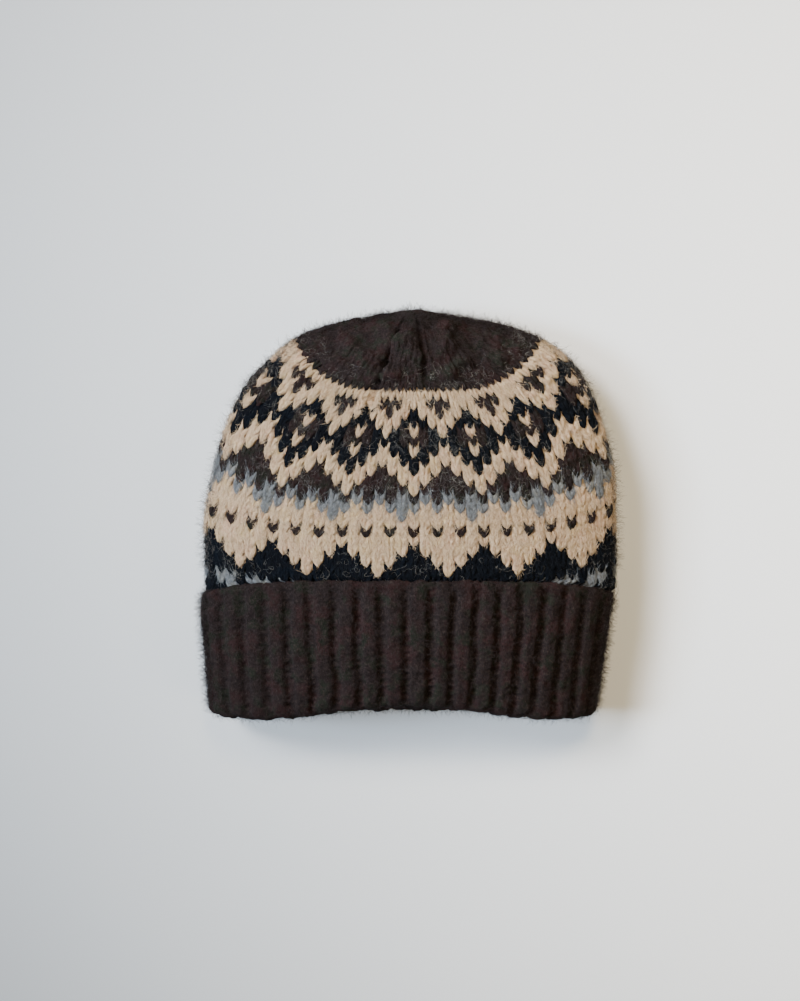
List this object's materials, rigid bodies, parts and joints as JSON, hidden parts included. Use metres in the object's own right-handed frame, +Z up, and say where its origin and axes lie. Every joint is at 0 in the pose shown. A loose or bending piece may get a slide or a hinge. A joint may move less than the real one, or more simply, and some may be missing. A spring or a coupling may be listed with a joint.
{
  "type": "knitted beanie",
  "caption": "Knitted wool beanie lying flat, with a gathered plain crown, a stranded colour-work band and a turned-up ribbed cuff.",
  "frame": {"origin": "on the resting surface, under the middle of the hat's box", "axes": "+Z up through the front of the hat as it lies on its back, +Y from the cuff to the tip of the crown, +X to the right seen from above with the crown up"},
  "size_m": [0.212, 0.209, 0.0512],
  "materials": {
    "brown_wool": "brushed stocking stitch",
    "patterned_wool": "brushed stranded colour work",
    "ribbed_brown_wool": "1x1 rib"
  },
  "bodies": {
    "root": {"crown": "brown_wool", "patterned_band": "patterned_wool", "ribbed_cuff": "ribbed_brown_wool"}
  },
  "joints": []
}
